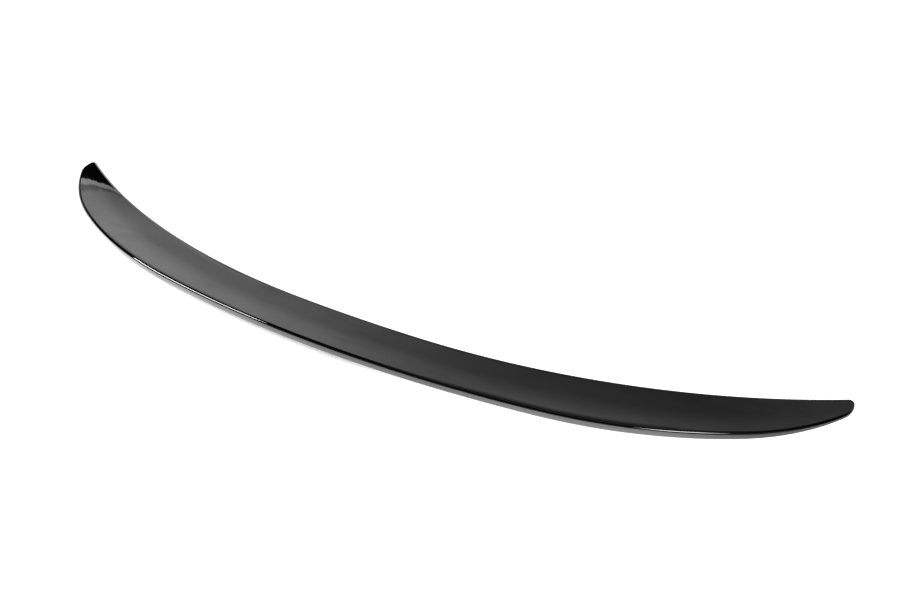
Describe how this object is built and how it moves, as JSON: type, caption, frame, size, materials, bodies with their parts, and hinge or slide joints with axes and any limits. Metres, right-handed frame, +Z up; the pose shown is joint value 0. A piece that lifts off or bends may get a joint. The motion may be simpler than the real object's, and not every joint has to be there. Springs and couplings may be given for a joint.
{
  "type": "car rear spoiler",
  "caption": "Lip spoiler for a car boot lid: a slim crescent-shaped gloss shell with a gently hollow top skin, a rolled trailing lip, a short rear face and a ribbed open underside.",
  "frame": {"origin": "under the middle of the part's box, level with the feet of the two ends", "axes": "+X along the length, +Y towards the front of the car, +Z up, away from the boot lid"},
  "size_m": [1.2044, 0.2256, 0.0283],
  "materials": {
    "gloss_black": "gloss"
  },
  "bodies": {
    "root": {"spoiler": "gloss_black"}
  },
  "joints": []
}
